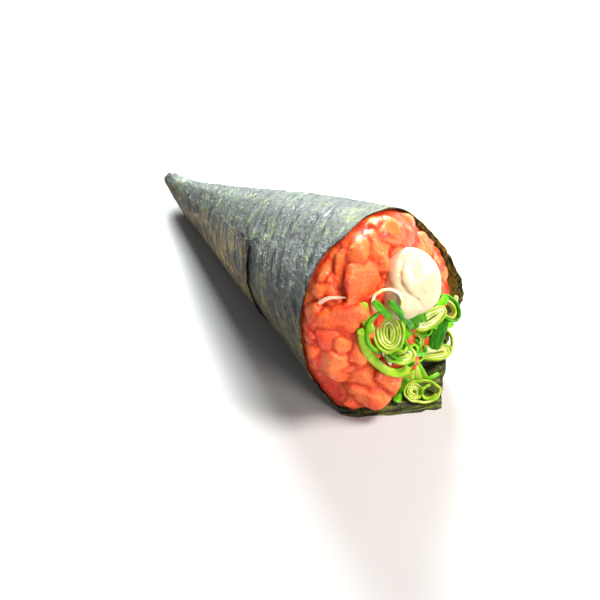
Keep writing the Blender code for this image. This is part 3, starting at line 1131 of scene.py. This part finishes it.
def onion_material():
    material, tree, shader = new_material("spring_onion")
    veins = attribute(tree, "veins", "Vector")
    stripes = noise_of(stretched(veins, (0.25, 3.2, 1.0)), 1.0)
    patches = noise_of(place(tree), 520.0)
    level = plus(attribute(tree, "green"), between(stripes, 0.3, 0.7, -0.13, 0.13))
    level = plus(level, between(patches, 0.3, 0.7, -0.08, 0.08))
    connect(shader, {
        "Base Color": ramp(level, (
            (0.0, (0.84, 0.82, 0.7)),
            (0.2, (0.56, 0.62, 0.17)),
            (0.42, (0.32, 0.44, 0.022)),
            (0.62, (0.15, 0.43, 0.004)),
            (0.82, (0.046, 0.3, 0.002)),
            (1.0, (0.014, 0.16, 0.001)),
        )),
        "Roughness": between(patches, 0.3, 0.7, 0.26, 0.42),
        "Normal": bump(stripes, 0.12 * MM, 0.6),
        "Subsurface Weight": 0.25,
        "Subsurface Radius": (0.6, 1.0, 0.25),
        "Subsurface Scale": 0.6 * MM,
        "Specular IOR Level": 0.16,
        "Coat Weight": 0.1,
        "Coat Roughness": 0.08,
    })
    return material


def on_heap(far, up, lift):
    return on_dome(far, up, lift + HEAP_LIFT)


def laid(*spots):
    """Points from far, up and lift on the heap, or from far, up, out and lift below the filling."""
    return [on_heap(*spot) if len(spot) == 3 else on_face(*spot) for spot in spots]


def left_of_heap(onion):
    onion.ring(on_heap(-3.6, 6.6, 3.0), LEAN, (3.6, 3.1), 0.8, 0.75, 0.0, span=265.0, start=-25.0)
    onion.slice(on_heap(-4.6, -1.9, 1.7), aimed(-0.55, 0.5, 0.66), (3.5, 4.7), 2.4,
        (0.5, 0.34, 0.44, 0.3, 0.42), spin=10.0, wall=0.8)
    onion.ribbon(laid((-10.0, 9.6, 1.2), (-10.2, 5.3, 1.2), (-9.9, 1.2, 1.0)), 2.5, 0.6, 0.46)
    onion.ribbon(laid((-12.3, 3.4, 1.2), (-12.2, -2.0, 1.5), (-10.0, -7.4, 1.8), (-7.8, -11.4, 1.8),
        (-4.3, -13.8, 1.6), (-0.4, -13.9, 1.4)), 2.3, 0.6, 0.66, inner=0.5)
    onion.ribbon(laid((-6.0, 5.2, 2.6), (-9.8, 3.6, 2.2), (-11.2, -1.2, 2.0), (-8.0, -6.8, 1.8)),
        1.1, 0.8, 0.74)
    onion.ribbon(laid((-13.2, 3.2, 1.0), (-12.0, 1.6, 1.2)), 1.2, 0.7, 0.5)
    onion.ribbon(laid((-7.2, -6.4, 1.4), (-6.5, -10.2, 1.2)), 0.9, 0.7, 0.02)
    onion.slice(on_heap(-3.0, -9.2, 1.2), aimed(-0.3, 0.75, 0.6), (3.0, 2.1), 1.6, (0.42, 0.3, 0.36))
    onion.ribbon(laid((-6.0, -7.4, 2.4), (-3.0, -11.0, 2.4), (0.4, -11.6, 2.2)), 1.0, 0.8, 0.7)


def middle_of_heap(onion):
    onion.ribbon(laid((-3.1, 6.6, 5.6), (-0.4, 1.2, 5.2), (3.6, -5.8, 3.8)), 1.9, 0.7, 0.88)
    onion.ribbon(laid((-7.2, 8.6, 3.6), (-5.4, 5.3, 4.2), (-3.4, 1.9, 3.8)), 1.8, 0.6, 0.76)
    onion.ribbon(laid((0.4, -0.2, 3.0), (-1.3, -5.4, 2.8), (0.8, -11.0, 2.4), (5.9, -15.2, 10.0, 1.0),
        (6.6, -12.9, 10.0, 1.0)), 1.1, 0.8, 0.72)
    onion.slice(on_heap(8.7, -5.5, 3.8), LEAN, (4.2, 1.8), 2.2, (0.4, 0.16, 0.24), spin=34.0, wall=0.7)
    onion.ribbon(laid((4.9, -6.2, 2.6), (8.2, -8.0, 2.8), (12.6, -8.6, 2.8)), 1.3, 0.6, 0.8)
    onion.ribbon(laid((3.4, 0.6, 4.2), (3.8, -2.8, 3.6), (4.1, -6.0, 3.0)), 2.3, 0.6, 0.84)
    onion.ribbon(laid((6.0, -0.6, 4.2), (6.4, -4.6, 3.4), (7.3, -8.4, 2.8)), 2.2, 0.6, 0.76)
    onion.ribbon(laid((9.4, -1.4, 4.0), (6.0, -0.8, 4.6), (2.6, -0.2, 4.6)), 2.1, 0.6, 0.86)
    onion.ring(on_heap(8.0, -9.4, 2.2), aimed(0.2, 0.75, 0.6), (2.0, 1.7), 1.7, 0.6, 0.82)
    onion.slice(on_heap(2.6, -9.0, 1.0), aimed(-0.4, 0.5, 0.8), (2.6, 2.2), 1.6, (0.6, 0.4), wall=0.6)


def right_of_heap(onion):
    onion.ribbon(laid((12.6, -7.9, 11.0, 2.4), (11.1, -12.3, 10.0, 2.6), (9.9, -16.6, 9.0, 2.4)),
        3.3, 0.6, 0.9)
    onion.ribbon(laid((11.4, -3.0, 3.4), (13.6, -3.8, 3.8), (16.2, -3.8, 3.4)), 1.9, 0.6, 0.72)
    hoop_way = aimed(-0.1, 0.7, 0.7)
    onion.ring(on_heap(15.8, -7.0, 2.4), hoop_way, (2.5, 3.6), 2.0, 0.6, 0.84, spin=12.0)
    onion.ring(on_heap(15.6, -7.0, 1.8), hoop_way, (1.6, 2.4), 1.8, 0.6, 0.3, spin=12.0)
    onion.ribbon(laid((22.6, -8.6, 5.5, 1.6), (22.4, -11.0, 5.0, 1.8)), 1.3, 0.9, 0.16)
    onion.ribbon(laid((16.6, -16.0, 5.0, 3.2), (18.8, -16.6, 4.6, 3.2), (21.0, -17.0, 4.6, 2.6)),
        1.7, 0.7, 0.66)
    onion.ring(on_face(16.0, -20.0, 5.1, 2.6), aimed(-0.5, 0.5, 0.7), (2.8, 3.4), 1.7, 0.7, 0.46, span=230.0,
        start=-110.0)
    onion.slice(on_face(13.2, -21.8, 5.2, 3.0), aimed(-0.1, 0.85, 0.5), (4.2, 1.9), 1.9, (0.46, 0.26, 0.38),
        wall=0.7, spin=-8.0)
    onion.ribbon(laid((11.0, -9.6, 1.6), (13.0, -11.4, 1.8), (14.6, -13.6, 1.6)), 1.8, 0.6, 0.8)


def slid_down(onion):
    """The bits that have slid onto the sheet below the filling."""
    fan = on_face(4.6, -23.6, 5.9, 3.6)
    for index, green in enumerate((0.42, 0.3, 0.5, 0.36, 0.58)):
        shift = (index - 2) * 1.15 * MM
        start = fan + Vector((0.0, shift, 0.4 * shift)) + LEAN * (0.15 * index * MM)
        bend = LEAN.cross(UP).normalized() * shift
        ends = (start + TOP * (2.8 * MM) + bend * 0.5, start - TOP * (3.0 * MM) - bend * 0.4)
        onion.ribbon([ends[0], start, ends[1]], 1.5, 0.8, green)
    lower = on_face(2.9, -25.6, 10.4, 2.2)
    across = UP.cross(LEAN).normalized()
    onion.ring(lower, aimed(-0.38, 0.72, 0.58), (4.5, 2.7), 2.2, 0.75, 0.44, inner=0.3, spin=4.0,
        wobble=0.14)
    left = lower + (LEAN * 0.3 - across * 2.0) * MM
    right = lower + (LEAN * 0.4 + across * 2.0) * MM
    onion.slice(left, aimed(-0.3, 0.6, 0.74), (1.7, 1.8), 1.8, (0.5, 0.34, 0.42), wall=0.6)
    onion.ring(right, LEAN, (2.1, 1.6), 1.7, 0.7, 0.52, inner=0.4, span=250.0, start=60.0, spin=30.0)
    top_end = lower + (across * 0.4 + TOP * 1.6 + LEAN * 0.6) * MM
    low_end = lower + (LEAN * 0.6 - across * 0.3 - TOP * 2.0) * MM
    onion.ribbon([top_end, lower + LEAN * (1.1 * MM), low_end], 1.0, 0.7, 0.62)
    onion.ribbon(laid((-2.4, -17.2, 1.6), (-1.4, -24.4, 6.7, 2.2), (-4.6, -25.2, 8.9, 1.6)), 2.2, 0.6, 0.78)
    onion.ribbon(laid((6.8, -25.1, 8.3, 2.4), (8.6, -24.9, 8.8, 2.6), (10.2, -24.7, 9.3, 2.2)),
        1.1, 0.6, 0.7)


def under_heap(onion):
    """Small rings and shreds that lie under and between the others."""
    draw = random.Random(23)
    for number in range(30):
        far = draw.uniform(-6.0, 14.0)
        up = draw.uniform(-15.0, -1.0) + 0.15 * (far - 4.0)
        facing = (LEAN + scatter(draw, 0.45)).normalized()
        green = draw.uniform(0.35, 0.95)
        middle = on_heap(far, up, draw.uniform(-0.4, 1.4))
        if number % 2:
            radius = draw.uniform(1.3, 2.2)
            onion.ring(middle, facing, (radius, radius * draw.uniform(0.6, 1.0)), draw.uniform(1.2, 1.9),
                       0.6, green, inner=green - 0.1, spin=draw.uniform(0.0, 180.0))
        else:
            along = spun(facing.orthogonal().normalized(), draw.uniform(0.0, math.tau), facing)
            reach = along * (draw.uniform(1.6, 3.0) * MM)
            knots = [middle - reach, middle + facing * (0.5 * MM), middle + reach]
            onion.ribbon(knots, draw.uniform(1.3, 2.2), 0.6, green, face=facing)


def make_onion():
    onion = Strips()
    under_heap(onion)
    left_of_heap(onion)
    middle_of_heap(onion)
    right_of_heap(onion)
    slid_down(onion)
    piece = add_piece("spring_onion_slices", onion.vertices, onion.faces,
                      onion_material(), "spring_onion")
    set_values(piece.data, green=onion.green, veins=onion.veins)


# ---- floor ----
def make_floor():
    material, tree, shader = new_material("floor")
    cloud = noise_of(place(tree), 8.0)
    base = mixed(cloud, (0.44, 0.425, 0.425), (0.48, 0.465, 0.465))
    connect(shader, {"Base Color": base, "Roughness": 0.75})
    corners = [(x * FLOOR_HALF, y * FLOOR_HALF, 0.0) for x, y in ((-1, -1), (1, -1), (1, 1), (-1, 1))]
    mesh = new_mesh("floor", corners, [(0, 1, 2, 3)])
    mesh.materials.append(material)
    floor = linked("floor", mesh)
    floor.location.z = TABLE - 0.05 * MM


set_camera()
set_lights()
make_floor()
make_nori()
salmon_look = salmon_material()
make_salmon(salmon_look)
make_fat_seam(salmon_look)
make_core(salmon_look)
make_cream()
make_onion()
